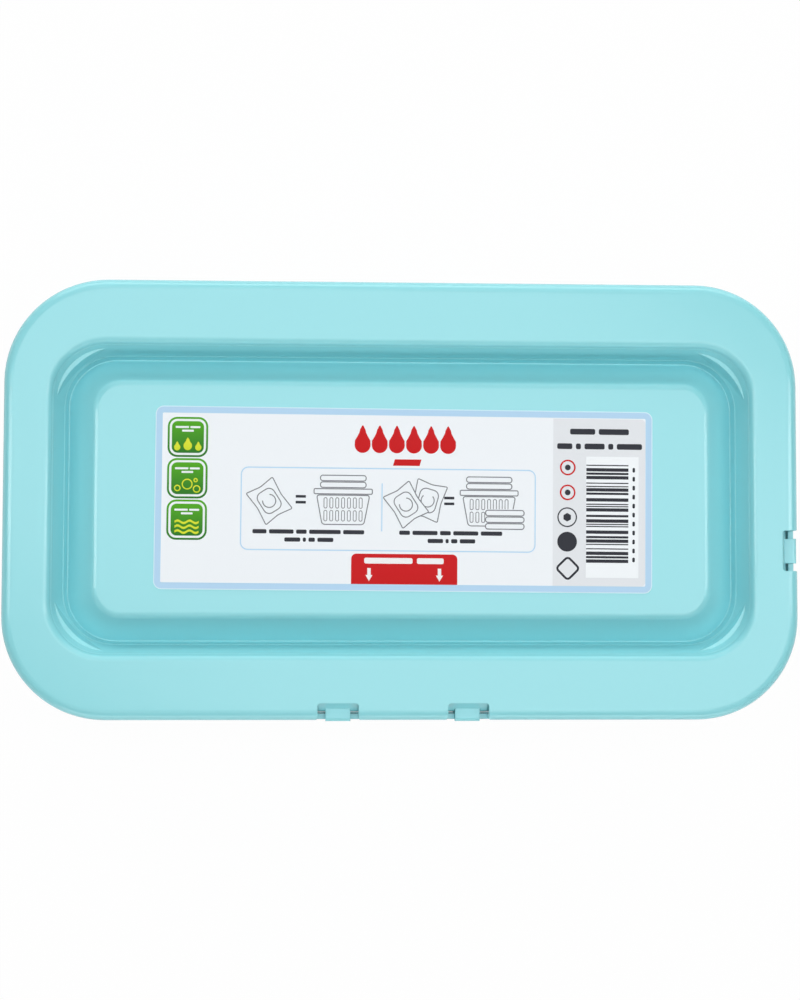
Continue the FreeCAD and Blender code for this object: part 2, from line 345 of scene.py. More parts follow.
@dataclass(frozen=True)
class PodGel:
    """Coloured liquid gel seen through clear film."""

    name: str
    colour: Colour
    cloud_colour: Colour
    cloud_scale: float = 110.0
    crease_scale: float = 420.0
    crinkle: float = 0.25
    roughness: float = 0.14
    coat: float = 0.6

    def make(self) -> Material:
        """Builds a glossy material with soft clouds in the liquid.

        Returns:
            The material.
        """
        tree, shader = principled(self.name)
        place = tree.add("TexCoord").outputs["Object"]
        cloud = tree.noise(place, self.cloud_scale, 2.0)
        crease = tree.noise(place, self.crease_scale, 3.0)
        bump = tree.add("Bump", {"Height": crease, "Strength": self.crinkle, "Distance": MM})
        tree.fill(shader, {"Base Color": tree.blend(cloud, self.colour, self.cloud_colour),
                           "Normal": bump.outputs["Normal"], "Roughness": self.roughness,
                           "Coat Weight": self.coat})
        return bpy.data.materials[self.name]


@dataclass(frozen=True)
class PodFilm:
    """Thin frosted water-soluble film at a pod's seam."""

    name: str
    colour: Colour
    opacity: float = 0.45
    crease_scale: float = 700.0
    crinkle: float = 0.5
    roughness: float = 0.25

    def make(self) -> Material:
        """Builds a partly clear, crinkled film.

        Returns:
            The material.
        """
        tree, shader = principled(self.name)
        place = tree.add("TexCoord").outputs["Object"]
        crease = tree.noise(place, self.crease_scale, 4.0)
        bump = tree.add("Bump", {"Height": crease, "Strength": self.crinkle, "Distance": MM})
        tree.fill(shader, {"Base Color": tree.blend(crease, self.colour, (1.0, 1.0, 1.0)),
                           "Normal": bump.outputs["Normal"], "Alpha": self.opacity,
                           "Roughness": self.roughness})
        return bpy.data.materials[self.name]


@dataclass(frozen=True)
class PaleFloor:
    """White floor that shows as white, with its glow cut away under the tub in a rounded rectangle: a
    painted contact shadow, inside which the floor's own lit shade shows.
    """

    name: str = "pale_floor"
    colour: Colour = (0.9, 0.9, 0.9)
    roughness: float = 0.9
    glow_share: float = 0.97
    # Size of the rounded rectangle of painted shadow under the tub, where the floor's glow is cut away.
    shade_half_x: float = 112.0 * MM
    shade_half_y: float = 64.3 * MM
    shade_corner: float = 30.0 * MM
    shade_soft: float = 1.5 * MM

    def glow_outside_painted_shadow(self, tree: Tree) -> Socket:
        """Masks the floor under the tub, a rounded rectangle, which gets no glow: a painted contact shadow,
        inside which the floor's own lit shade shows.

        Args:
            tree: the floor's node tree.

        Returns:
            1 on the open floor, 0 in the painted shadow under the tub.
        """
        place = tree.add("SeparateXYZ", {0: tree.add("TexCoord").outputs["Object"]}).outputs
        squares = []
        for axis, half in (("X", self.shade_half_x), ("Y", self.shade_half_y)):
            past = tree.math("SUBTRACT", tree.math("ABSOLUTE", place[axis]), half - self.shade_corner)
            past = tree.math("MAXIMUM", past, 0.0)
            squares.append(tree.math("MULTIPLY", past, past))
        reach = tree.math("SQRT", tree.math("ADD", *squares))
        inside = self.shade_corner - self.shade_soft
        ramp = {"Value": reach, "From Min": inside, "From Max": self.shade_corner}
        return tree.add("MapRange", ramp).outputs[0]

    def make(self) -> Material:
        """Builds the floor's mix of plain white and a glow that lights nothing, with the glow cut away
        under the tub as a painted shadow.

        Returns:
            The material.
        """
        tree, shader = principled(self.name)
        tree.fill(shader, {"Base Color": self.colour, "Roughness": self.roughness})
        glow = tree.add("Emission", {"Color": (1.0, 1.0, 1.0), "Strength": 1.0})
        path = tree.add("LightPath")
        seen = tree.math("MAXIMUM", path.outputs["Is Camera Ray"], path.outputs["Is Glossy Ray"])
        seen = tree.math("MAXIMUM", seen, path.outputs["Is Transmission Ray"])
        share = tree.math("MULTIPLY", tree.math("MULTIPLY", seen, self.glow_share), self.glow_outside_painted_shadow(tree))
        mix = tree.add("MixShader", {0: share, 1: shader.outputs[0], 2: glow.outputs[0]})
        tree.feed(tree.tree.nodes["Material Output"].inputs["Surface"], mix.outputs[0])
        return bpy.data.materials[self.name]


def deselect_all() -> None:
    """Leaves nothing selected, in object mode."""
    if bpy.context.object is not None and bpy.context.object.mode != "OBJECT":
        end_edit()
    bpy.ops.object.select_all(action="DESELECT")


def make_active(piece: Piece) -> None:
    """Selects one piece alone and makes it active.

    Args:
        piece: the object that becomes active.
    """
    deselect_all()
    piece.select_set(True)
    bpy.context.view_layer.objects.active = piece


def start_edit(piece: Piece, mode: str = "VERT", select: str = "SELECT") -> None:
    """Opens a piece in edit mode.

    Args:
        piece: the mesh to edit.
        mode: the kind of element that is selected.
        select: SELECT for all of it, DESELECT for none.
    """
    make_active(piece)
    bpy.ops.object.mode_set(mode="EDIT")
    bpy.ops.mesh.select_mode(type=mode)
    bpy.ops.mesh.select_all(action=select)


def end_edit() -> None:
    """Goes back to object mode."""
    bpy.ops.object.mode_set(mode="OBJECT")


def select_where(piece: Piece, mode: str, test: Callable[[object], bool]) -> None:
    """Opens a piece in edit mode with the elements that pass a test selected.

    Args:
        piece: the mesh to edit.
        mode: VERT or FACE.
        test: called with each element, true to select it.
    """
    start_edit(piece, mode, "DESELECT")
    end_edit()
    for element in piece.data.polygons if mode == "FACE" else piece.data.vertices:
        element.select = bool(test(element))
    bpy.ops.object.mode_set(mode="EDIT")


def apply_modifiers(piece: Piece) -> None:
    """Applies every modifier of a piece, in order.

    Args:
        piece: the mesh that keeps the result.
    """
    make_active(piece)
    for modifier in list(piece.modifiers):
        bpy.ops.object.modifier_apply(modifier=modifier.name)


def join(pieces: Sequence[Piece], name: str) -> Piece:
    """Joins pieces into one.

    Args:
        pieces: at least one mesh.
        name: the joined piece's name.

    Returns:
        The joined piece.
    """
    deselect_all()
    for piece in pieces:
        piece.select_set(True)
    bpy.context.view_layer.objects.active = pieces[0]
    if len(pieces) > 1:
        bpy.ops.object.join()
    pieces[0].name = pieces[0].data.name = name
    return pieces[0]


def place_at(piece: Piece, matrix: Matrix) -> None:
    """Moves a piece by a matrix and leaves its object at the origin.

    Args:
        piece: the piece that is moved.
        matrix: where it goes.
    """
    make_active(piece)
    piece.matrix_world = matrix @ piece.matrix_world
    bpy.ops.object.transform_apply(location=True, rotation=True, scale=True)


def start_mesh(add: Callable, factors: Sequence[float] = (1.0, 1.0, 1.0), **settings) -> Piece:
    """Makes a plain mesh at the origin.

    Args:
        add: the operator that adds it.
        factors: what it is scaled by along each axis.
        settings: the operator's settings.

    Returns:
        The mesh.
    """
    deselect_all()
    add(location=(0, 0, 0), **settings)
    piece = bpy.context.object
    piece.scale = factors
    bpy.ops.object.transform_apply(location=False, rotation=False, scale=True)
    return piece


def resize_where(piece: Piece, test: Callable[[object], bool], factors: Sequence[float], **about) -> None:
    """Resizes the vertices that pass a test.

    Args:
        piece: the mesh to edit.
        test: called with each vertex, true to select it.
        factors: the factor along each axis.
        about: further settings of the resize, such as its middle.
    """
    select_where(piece, "VERT", test)
    bpy.ops.transform.resize(value=factors, **about)
    end_edit()


def spot(u: float, v: float, turn: float = 0.0) -> Matrix:
    """Gives the matrix that turns a flat shape and lays it at its place.

    Args:
        u: to the right.
        v: to the rear.
        turn: angle in degrees.

    Returns:
        The matrix.
    """
    return Matrix.Translation((u, v, 0)) @ Matrix.Rotation(math.radians(turn), 4, "Z")


def plate(u: float, v: float, width: float, height: float, round_by: float = 0.0,
          corners: Corner = Corner.ALL, turn: float = 0.0) -> Piece:
    """Makes a flat rectangle, with round corners where asked.

    Args:
        u: middle of the plate, to the right.
        v: middle of the plate, to the rear.
        width: size along u.
        height: size along v.
        round_by: corner radius.
        corners: which corners are round.
        turn: angle about the plate's middle, in degrees.

    Returns:
        The flat mesh.
    """
    piece = start_mesh(bpy.ops.mesh.primitive_plane_add, (width, height, 1.0), size=1.0)
    if round_by > 0:
        tests = {
            Corner.ALL: lambda vertex: True,
            Corner.REAR: lambda vertex: vertex.co.y > 0,
            Corner.RIGHT: lambda vertex: vertex.co.x > 0,
        }
        select_where(piece, "VERT", tests[corners])
        bpy.ops.mesh.bevel(offset=round_by, segments=6, affect="VERTICES")
        end_edit()
    place_at(piece, spot(u, v, turn))
    return piece


def disc(u: float, v: float, radius: float, sides: int = 32, turn: float = 0.0) -> Piece:
    """Makes a flat disc, or a regular polygon with few sides.

    Args:
        u: middle, to the right.
        v: middle, to the rear.
        radius: distance from the middle to a corner.
        sides: number of corners.
        turn: angle in degrees.

    Returns:
        The flat mesh.
    """
    add = bpy.ops.mesh.primitive_circle_add
    piece = start_mesh(add, vertices=sides, radius=radius, fill_type="NGON")
    place_at(piece, spot(u, v, turn))
    return piece


def tapered(u: float, v: float, width: float, height: float, foot: float, round_by: float) -> Piece:
    """Makes a flat trapezium whose front side is narrower than its rear side.

    Args:
        u: middle, to the right.
        v: middle, to the rear.
        width: length of the rear side.
        height: size along v.
        foot: length of the front side.
        round_by: corner radius.

    Returns:
        The flat mesh.
    """
    piece = plate(0, 0, width, height)
    resize_where(piece, lambda vertex: vertex.co.y < 0, (foot / width, 1, 1))
    start_edit(piece)
    bpy.ops.mesh.bevel(offset=round_by, segments=5, affect="VERTICES")
    end_edit()
    place_at(piece, spot(u, v))
    return piece


def outline(piece: Piece, line: float) -> Piece:
    """Leaves only a line along the edge of a flat shape.

    Args:
        piece: the flat shape.
        line: width of the line.

    Returns:
        The same piece.
    """
    start_edit(piece, "FACE")
    bpy.ops.mesh.inset(thickness=line, depth=0.0)
    bpy.ops.mesh.delete(type="FACE")
    end_edit()
    return piece


def arc(u: float, v: float, radius: float, line: float, opening: float, turn: float) -> Piece:
    """Makes a round line with a gap.

    Args:
        u: middle, to the right.
        v: middle, to the rear.
        radius: outer radius.
        line: width of the line.
        opening: angle of the gap, in degrees.
        turn: direction of the gap, in degrees.

    Returns:
        The flat mesh.
    """
    piece = outline(disc(0, 0, radius), line)
    select_where(piece, "FACE", lambda face: abs(math.degrees(
        math.atan2(face.center.y, face.center.x))) < opening / 2)
    bpy.ops.mesh.delete(type="FACE")
    end_edit()
    place_at(piece, spot(u, v, turn))
    return piece


def drop(u: float, v: float, radius: float, height: float) -> Piece:
    """Makes a drop with its tip to the rear.

    Args:
        u: middle of the round part, to the right.
        v: middle of the round part, to the rear.
        radius: radius of the round part.
        height: whole height of the drop.

    Returns:
        The flat mesh.
    """
    piece = disc(0, 0, radius, 28)
    shoulder, rise, narrowing, stretch = 0.3, 0.25, 0.74, (height - radius) / radius
    for step in range(3):
        level = radius * (shoulder + rise * step)
        resize_where(piece, lambda vertex: vertex.co.y > level, (narrowing, 1, 1))
    resize_where(piece, lambda vertex: vertex.co.y > 0.01 * radius, (1, stretch, 1),
                 center_override=(0, 0, 0))
    place_at(piece, spot(u, v))
    return piece


def wave(u: float, v: float, width: float, line: float, swing: float) -> Piece:
    """Makes a wavy stripe.

    Args:
        u: middle, to the right.
        v: middle, to the rear.
        width: length of the stripe.
        line: thickness of the stripe.
        swing: how far it waves to each side.

    Returns:
        The flat mesh.
    """
    parts, turns = 24, 2.0
    add = bpy.ops.mesh.primitive_grid_add
    piece = start_mesh(add, (width, line, 1.0), x_subdivisions=parts, y_subdivisions=1, size=1.0)
    for vertex in piece.data.vertices:
        along = vertex.co.x / width + 0.5
        vertex.co.y += swing * math.sin(2 * math.pi * turns * along)
    place_at(piece, spot(u, v))
    return piece


def arrow(u: float, v: float, width: float, length: float, shaft: float) -> list[Piece]:
    """Makes an arrow that points to the front.

    Args:
        u: middle, to the right.
        v: middle, to the rear.
        width: width of the head.
        length: whole length.
        shaft: width of the shaft.

    Returns:
        The head and the shaft.
    """
    head_radius = width / math.sqrt(3)
    head_length = 1.5 * head_radius
    head = disc(u, v - length / 2 + head_radius, head_radius, 3, 180.0)
    shaft_length = length - head_length
    return [head, plate(u, v + (length - shaft_length) / 2, shaft, shaft_length)]


def word_bars(u: float, v: float, width: float, height: float, shares: Sequence[int],
              gap: float = 0.7) -> list[Piece]:
    """Makes a row of plain bars that stand for a line of small print.

    Args:
        u: left end of the row.
        v: middle of the row.
        width: length of the whole row.
        height: height of the bars.
        shares: relative length of each bar.
        gap: space between bars.

    Returns:
        One flat mesh for each bar.
    """
    unit = (width - gap * (len(shares) - 1)) / sum(shares)
    bars, left = [], u
    for share in shares:
        length = unit * share
        bars.append(plate(left + length / 2, v, length, height, height * 0.3))
        left += length + gap
    return bars


@dataclass
class LabelPrint:
    """The printed label on the lid's raised panel."""

    length: float = 138.0
    width: float = 50.6
    corner: float = 2.2
    border: float = 1.9
    # Width of the pale line along the label's outer edge, a painted highlight.
    edge_highlight_width: float = 0.25
    turn: float = -0.4
    middle_x: float = 0.4
    middle_y: float = 0.0
    ink: float = 0.012
    stroke: float = 0.28
    caption: float = 1.15

    def __post_init__(self) -> None:
        """Makes the inks that several fields share."""
        self.ground = Ink("label_white", linear(242, 247, 251), grain=0.02).make()
        self.blue = Ink("label_blue", linear(183, 218, 244), grain=0.03).make()
        self.red = Ink("label_red", linear(204, 14, 20), linear(206, 20, 26)).make()
        self.dark = Ink("line_dark", linear(50, 52, 60)).make()
        self.grey = Ink("line_grey", linear(120, 123, 128)).make()

    def print_layer(self, name: str, level: int, finish: Material, shapes: Sequence[Piece]) -> None:
        """Prints flat shapes as one thin layer on the label.

        Args:
            name: the printed piece's name.
            level: how many layers of ink lie below its top, itself included.
            finish: its ink.
            shapes: flat meshes in label millimetres.
        """
        piece = join(shapes, name)
        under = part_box("label")[1].z + (level - 1) * self.ink * MM
        lift = Matrix.Translation((self.middle_x * MM, self.middle_y * MM, under))
        place_at(piece, lift @ Matrix.Rotation(math.radians(self.turn), 4, "Z") @ Matrix.Scale(MM, 4))
        thickness = piece.modifiers.new("ink", "SOLIDIFY")
        thickness.thickness = self.ink * MM
        thickness.offset = 1.0
        apply_modifiers(piece)
        piece.data.materials.clear()
        piece.data.materials.append(finish)
        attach(piece, Body.LID.value)
        log.info("printed %s", name)

    def build(self) -> None:
        """Dresses the label sheet and prints all its fields and drawings."""
        self.sheet_and_border()
        self.heading()
        self.badges()
        self.dose_frame()
        self.opening_field()
        self.side_panel()

    def sheet_and_border(self) -> None:
        """Dresses the sheet, prints the pale blue border round it and a thin pale line along its outer
        edge, a painted highlight where the sheet's edge catches light.
        """
        dress("label", self.ground)
        band = outline(plate(0, 0, self.length, self.width, self.corner), self.border)
        self.print_layer("label_border", 1, self.blue, [band])
        # Painted highlight: the pale line along the label's outer edge stands for light caught by the
        # sheet's edge.
        pale = Ink("label_edge", linear(214, 240, 252), grain=0.02).make()
        line = outline(plate(0, 0, self.length, self.width, self.corner), self.edge_highlight_width)
        self.print_layer("label_edge", 2, pale, [line])

    def heading(self) -> None:
        """Prints a plain row of red drops with a slanted bar below as a generic heading."""
        drops, pitch, radius, height, drops_v = 6, 4.75, 2.2, 7.7, 15.1
        bar_u, bar_v, bar_width, bar_height, slant = 0.3, 10.35, 7.4, 1.8, 0.5
        row = [(number - (drops - 1) / 2) * pitch for number in range(drops)]
        shapes = [drop(u, drops_v, radius, height) for u in row]
        bar = plate(bar_u, bar_v, bar_width, bar_height)
        select_where(bar, "VERT", lambda vertex: vertex.co.y > bar_v)
        bpy.ops.transform.translate(value=(slant, 0, 0))
        end_edit()
        self.print_layer("heading", 1, self.red, shapes + [bar])

    def badges(self) -> None:
        """Prints three green badges with plain drop, bubble and wave motifs."""
        badge, pitch, left, first, band, ring = 11.1, 11.42, -60.1, 16.7, 0.55, 0.6
        green = Ink("badge_green", linear(44, 120, 38), linear(84, 172, 30)).make()
        white = Ink("badge_white", linear(240, 246, 246)).make()
        lime = Ink("badge_lime", linear(206, 222, 44), linear(226, 232, 60)).make()
        rows = [first - pitch * row for row in range(3)]
        self.print_layer("badge_outer", 1, green, [plate(left, v, badge, badge, 2.6) for v in rows])
        inner = badge - 2 * band
        self.print_layer("badge_ring", 2, white, [plate(left, v, inner, inner, 2.1) for v in rows])
        field = inner - 2 * ring
        self.print_layer("badge_field", 3, green, [plate(left, v, field, field, 1.6) for v in rows])
        captions = []
        for v in rows:
            captions += word_bars(left - 3.4, v + 2.75, 6.8, 0.55, (4, 3), 0.4)
            captions += word_bars(left - 1.6, v + 1.75, 3.2, 0.55, (1,))
        self.print_layer("badge_captions", 4, white, captions)
        motifs = [drop(left, rows[0] - 2.5, 1.15, 3.5)]
        for side in (-1, 1):
            motifs.append(drop(left + side * 2.9, rows[0] - 2.9, 0.85, 2.5))
        for u, v, radius in ((0, -1.6, 1.5), (-2.7, -2.7, 0.9), (2.6, -2.9, 1.05), (2.3, -0.5, 0.6)):
            motifs.append(outline(disc(left + u, rows[1] + v, radius), 0.32))
        for stripe in range(3):
            motifs.append(wave(left, rows[2] - 0.6 - 1.35 * stripe, 6.6, 0.62, 0.34))
        self.print_layer("badge_motifs", 4, lime, motifs)

    def pod_sheet(self, u: float, v: float, turn: float) -> Piece:
        """Cuts the outline of a pod's film sheet: a rectangle with its sides drawn in.

        Args:
            u: middle, to the right.
            v: middle, to the rear.
            turn: angle in degrees.

        Returns:
            The flat mesh.
        """
        width, length, drawn_in = 8.9, 10.6, 0.88
        sheet = plate(0, 0, width, length)
        start_edit(sheet, "EDGE")
        bpy.ops.mesh.subdivide(number_cuts=1)
        end_edit()
        resize_where(sheet, lambda vertex: min(abs(vertex.co.x), abs(vertex.co.y)) < 0.25 * width,
                     (drawn_in, drawn_in, 1))
        start_edit(sheet, "FACE")
        bpy.ops.mesh.dissolve_faces()
        end_edit()
        select_where(sheet, "VERT", lambda vertex: True)
        bpy.ops.mesh.bevel(offset=0.6, segments=4, affect="VERTICES")
        end_edit()
        place_at(sheet, spot(u, v, turn))
        return sheet

    def pod_lines(self, u: float, v: float, turn: float) -> list[Piece]:
        """Draws a pod in thin lines: film sheet, pillow and a curl on it.

        Args:
            u: middle, to the right.
            v: middle, to the rear.
            turn: angle in degrees.

        Returns:
            The flat meshes.
        """
        pillow_width, pillow_length, curl = 5.5, 6.7, 1.95
        return [
            outline(self.pod_sheet(u, v, turn), self.stroke),
            outline(plate(u, v, pillow_width, pillow_length, 1.8, turn=turn), self.stroke),
            arc(u, v, curl, self.stroke, 80.0, turn + 100.0),
        ]

    def cloth_lines(self, u: float, v: float, width: float, layers: int) -> list[Piece]:
        """Draws a stack of folded cloth in thin lines.

        Args:
            u: middle, to the right.
            v: front edge of the stack.
            width: width of the stack.
            layers: number of folds.

        Returns:
            The flat meshes.
        """
        fold, gap = 1.8, 0.06
        lines = []
        for layer in range(layers):
            middle = v + (fold + gap) * (layer + 0.5)
            lines.append(outline(plate(u, middle, width, fold, 0.8), self.stroke))
        return lines

    def basket_lines(self, u: float, v: float, width: float) -> list[Piece]:
        """Draws a laundry basket with rows of slots.

        Args:
            u: middle of the rim, to the right.
            v: middle of the rim, to the rear.
            width: width of the rim.

        Returns:
            The flat meshes.
        """
        rim, depth, columns, rows = 1.7, 8.4, 7, 2
        slot_width, slot_height, slot_pitch, row_pitch = 1.05, 3.1, 1.62, 3.55
        body = tapered(u, v - (rim + depth) / 2 - 0.05, width - 1.4, depth, width - 4.6, 0.9)
        lines = [outline(plate(u, v, width, rim, 0.5), self.stroke), outline(body, self.stroke)]
        for column in range(columns):
            slot_u = u + (column - (columns - 1) / 2) * slot_pitch
            for row in range(rows):
                slot = plate(slot_u, v - 3.2 - row_pitch * row, slot_width, slot_height, 0.5)
                lines.append(outline(slot, self.stroke * 0.75))
        return lines

    def dose_frame(self) -> None:
        """Prints the thin blue frame with drawings of pods, baskets and folded washing."""
        left, right, front, rear, corner, line = -45.4, 36.4, -14.3, 8.75, 2.1, 0.32
        basket_v, basket_width, first_u, second_u = 2.15, 16.4, -17.1, 23.4
        field = plate((left + right) / 2, (front + rear) / 2, right - left, rear - front, corner)
        border = outline(field, line)
        divider = plate(-6.35, -2.15, line, 13.3)
        self.print_layer("dose_frame", 1, self.blue, [border, divider])
        washing, baskets = [], []
        for u in (first_u, second_u):
            washing += self.cloth_lines(u, basket_v + 0.9, 12.9, 2)
        self.print_layer("washing_lines", 1, self.grey, washing)
        for u in (first_u, second_u):
            baskets += self.basket_lines(u, basket_v, basket_width)
        self.print_layer("basket_lines", 1, self.grey, baskets)
        self.print_layer("rear_pod_lines", 1, self.grey, self.pod_lines(6.3, -0.1, -16.0))
        pile_u, pile_v, pile_width, pile_height = 27.8, -8.0, 11.0, 5.7
        front_pod = (0.3, -1.3, 33.0)
        pile = plate(pile_u, pile_v + pile_height / 2, pile_width, pile_height, 0.8)
        self.print_layer("drawing_ground", 2, self.ground, [pile, self.pod_sheet(*front_pod)])
        front_lines = self.cloth_lines(pile_u, pile_v, pile_width, 3) + self.pod_lines(*front_pod)
        self.print_layer("front_lines", 3, self.grey, front_lines)
        self.print_layer("single_pod_lines", 1, self.grey, self.pod_lines(-37.5, -0.7, 33.0))
        equals_width, equals_line, first_row, second_row = 2.8, 0.72, -9.1, -11.3
        marks = [plate(u, v, equals_width, equals_line) for u in (-28.8, 12.3) for v in (0.66, -0.96)]
        marks += word_bars(-42.0, first_row, 30.8, self.caption, (4, 7, 3, 9, 6))
        marks += word_bars(-33.2, second_row, 13.5, self.caption, (5, 1, 2, 5))
        marks += word_bars(-1.5, first_row, 28.6, self.caption, (3, 7, 3, 7, 6))
        marks += word_bars(6.4, second_row, 13.2, self.caption, (5, 1, 2, 5))
        self.print_layer("dose_marks", 1, self.dark, marks)

    def opening_field(self) -> None:
        """Prints the red opening field with two arrows to the front latches."""
        front, rear = -self.width / 2 + self.border, -15.0
        field = plate(0, (front + rear) / 2, 29.4, rear - front, 1.4, Corner.REAR)
        self.print_layer("opening_field", 1, self.red, [field])
        white = Ink("opening_white", linear(246, 246, 246)).make()
        marks = word_bars(-11.1, -16.9, 22.0, 1.6, (9, 5), 1.2)
        for side in (-1, 1):
            marks += arrow(side * 9.75, -20.75, 1.95, 3.6, 0.95)
        self.print_layer("opening_marks", 2, white, marks)

    def side_panel(self) -> None:
        """Prints the grey side panel with plain signs and a field of bars."""
        left, right, front, rear = 41.2, 67.05, -23.4, 23.2
        grey = Ink("panel_grey", linear(229, 233, 237), grain=0.02).make()
        middle_u, middle_v = (left + right) / 2, (front + rear) / 2
        panel = plate(middle_u, middle_v, right - left, rear - front, 1.3, Corner.RIGHT)
        self.print_layer("side_panel", 1, grey, [panel])
        white = Ink("panel_white", linear(245, 250, 253), grain=0.02).make()
        self.print_layer("bar_ground", 2, white, [plate(57.8, -4.2, 14.7, 33.7)])
        red_u, red_rows, dark_u, sign_radius, print_height = 45.3, (9.55, 2.6), 45.2, 2.75, 1.6
        rings = [outline(disc(red_u, v, 2.2), 0.45) for v in red_rows]
        self.print_layer("panel_red_signs", 2, self.red, rings)
        signs = [disc(red_u, v, 0.8) for v in red_rows]
        signs.append(outline(disc(dark_u, -4.3, sign_radius), 0.35))
        signs.append(disc(dark_u, -4.3, 1.2, 6))
        signs.append(disc(dark_u, -11.1, sign_radius))
        signs.append(outline(plate(45.4, -18.5, 5.2, 5.2, 1.2, turn=45.0), 0.6))
        signs += word_bars(45.9, 19.6, 16.5, print_height, (5, 6), 1.0)
        signs += word_bars(42.3, 15.5, 23.8, print_height, (3, 1, 4, 1, 5), 1.0)
        self.print_layer("panel_signs", 2, self.dark, signs)
        self.print_layer("panel_bars", 3, self.dark, self.plain_bars())

    def plain_bars(self) -> list[Piece]:
        """Makes a field of plain bars of uneven width that encode nothing.

        Returns:
            One flat mesh for each bar.
        """
        first, last, left, length, module = 10.4, -17.7, 50.5, 11.8, 0.31
        bars = []
        v, step = first, 0
        while v > last:
            thick = module * (1 + (step * step + step) % 5 % 3)
            gap = module * (1 + (3 * step + 1) % 4 % 3)
            bars.append(plate(left + length / 2, v - thick / 2, length, thick))
            v -= thick + gap
            step += 1
        for dash in range(11):
            bars.append(plate(63.8, 9.0 - 2.5 * dash, 0.7, 1.3, 0.3))
        return bars


@dataclass
class PodFill:
    """The pods in the tub: clear film sheets with a domed, two-chamber gel pillow."""

    sheet_side_pull: float = 0.93
    corner_crease: float = 0.8
    corner_lift: float = 1.2 * MM
    dome_margin: float = 6.5 * MM
    dome_round: float = 3.6 * MM
    dome_taper: float = 0.86
    seam_height: float = 5.4 * MM
    seam_reach: float = 0.1 * MM
    seam_depth: float = 0.5 * MM
    seam_swing: float = 2.6 * MM
    seam_turns: float = 5.0
    film_wall: float = 0.35 * MM
    turn: float = 4.0
    turn_step: float = 2.4

    def build(self) -> None:
        """Models one pod and lays a copy where each pod of the frame is."""
        names = sorted(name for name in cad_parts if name.startswith("pod_"))
        finishes = [
            PodFilm("pod_film", linear(196, 226, 240)).make(),
            PodGel("pod_gel_blue", linear(28, 112, 196), linear(60, 150, 220)).make(),
            PodGel("pod_gel_white", linear(222, 236, 240), linear(198, 224, 236)).make(),
        ]
        low, high = self.core_size(names)
        pattern = self.model_pod(high - low, finishes)
        for number, name in enumerate(names, start=1):
            piece = pattern.copy()
            piece.data = pattern.data.copy()
            piece.name = name + "_look"
            bpy.context.scene.collection.objects.link(piece)
            box_low, box_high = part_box(name)
            middle = (box_low + box_high) / 2
            angle = math.radians(self.turn * math.sin(self.turn_step * number))
            rest = Matrix.Translation((middle.x, middle.y, box_low.z))
            place_at(piece, rest @ Matrix.Rotation(angle, 4, "Z"))
            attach(piece, Body.TUB.value)
            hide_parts(name)
        bpy.data.objects.remove(pattern)
        log.info("laid %d pods", len(names))

    def core_size(self, names: Sequence[str]) -> tuple[Vector, Vector]:
        """Finds the box of the pod that is turned least, which is a pod's own size.

        Args:
            names: the pods' nodes.

        Returns:
            Its lowest and highest corners.
        """
        boxes = [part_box(name) for name in names]
        return min(boxes, key=lambda pair: (pair[1] - pair[0]).y)

    def model_pod(self, size: Vector, finishes: Sequence[Material]) -> Piece:
        """Models a pod on the floor at the origin.

        Args:
            size: length, width and height of the pod.
            finishes: film, dark gel and pale gel.

        Returns:
            The pod.
        """
        sheet = self.model_sheet(size)
        dome = self.model_dome(size)
        for piece in (sheet, dome):
            piece.data.materials.clear()
            for finish in finishes:
                piece.data.materials.append(finish)
        for face in dome.data.polygons:
            face.material_index = 2 if face.center.x > 0 else 1
        self.bend_seam(dome, size)
        return join([sheet, dome], "pod_pattern")

    def bend_seam(self, dome: Piece, size: Vector) -> None:
        """Sinks the seam between the two chambers and bends it into a gentle S.

        Args:
            dome: the gel pillow, split along x = 0.
            size: length, width and height of the pod.
        """
        for vertex in dome.data.vertices:
            if abs(vertex.co.x) < self.seam_reach and vertex.co.z > self.seam_height:
                vertex.co.z -= self.seam_depth
            fade = 1.0 - (2 * vertex.co.x / size.x) ** 2
            vertex.co.x += self.seam_swing * fade * math.sin(self.seam_turns * vertex.co.y / size.y)

    def model_sheet(self, size: Vector) -> Piece:
        """Models the film sheet: sides drawn in, corners pointed and lifted a little.

        Args:
            size: length, width and height of the pod.

        Returns:
            The sheet, at the height of the seam.
        """
        add = bpy.ops.mesh.primitive_grid_add
        sheet = start_mesh(add, (size.x, size.y, 1.0), x_subdivisions=4, y_subdivisions=4, size=1.0)

        def at_side(vertex: bpy.types.MeshVertex) -> bool:
            """Tells whether a vertex is on the left or right side."""
            return abs(vertex.co.x) > 0.45 * size.x

        def at_end(vertex: bpy.types.MeshVertex) -> bool:
            """Tells whether a vertex is on the front or rear side."""
            return abs(vertex.co.y) > 0.45 * size.y

        resize_where(sheet, lambda vertex: at_side(vertex) and abs(vertex.co.y) < 0.3 * size.y,
                     (self.sheet_side_pull, 1, 1))
        resize_where(sheet, lambda vertex: at_end(vertex) and abs(vertex.co.x) < 0.3 * size.x,
                     (1, self.sheet_side_pull, 1))
        select_where(sheet, "VERT", lambda vertex: at_side(vertex) and at_end(vertex))
        bpy.ops.transform.vert_crease(value=self.corner_crease)
        bpy.ops.transform.translate(value=(0, 0, self.corner_lift))
        end_edit()
        smooth = sheet.modifiers.new("smooth", "SUBSURF")
        smooth.levels = smooth.render_levels = 2
        wall = sheet.modifiers.new("wall", "SOLIDIFY")
        wall.thickness = self.film_wall
        apply_modifiers(sheet)
        place_at(sheet, Matrix.Translation((0, 0, self.seam_height)))
        return sheet

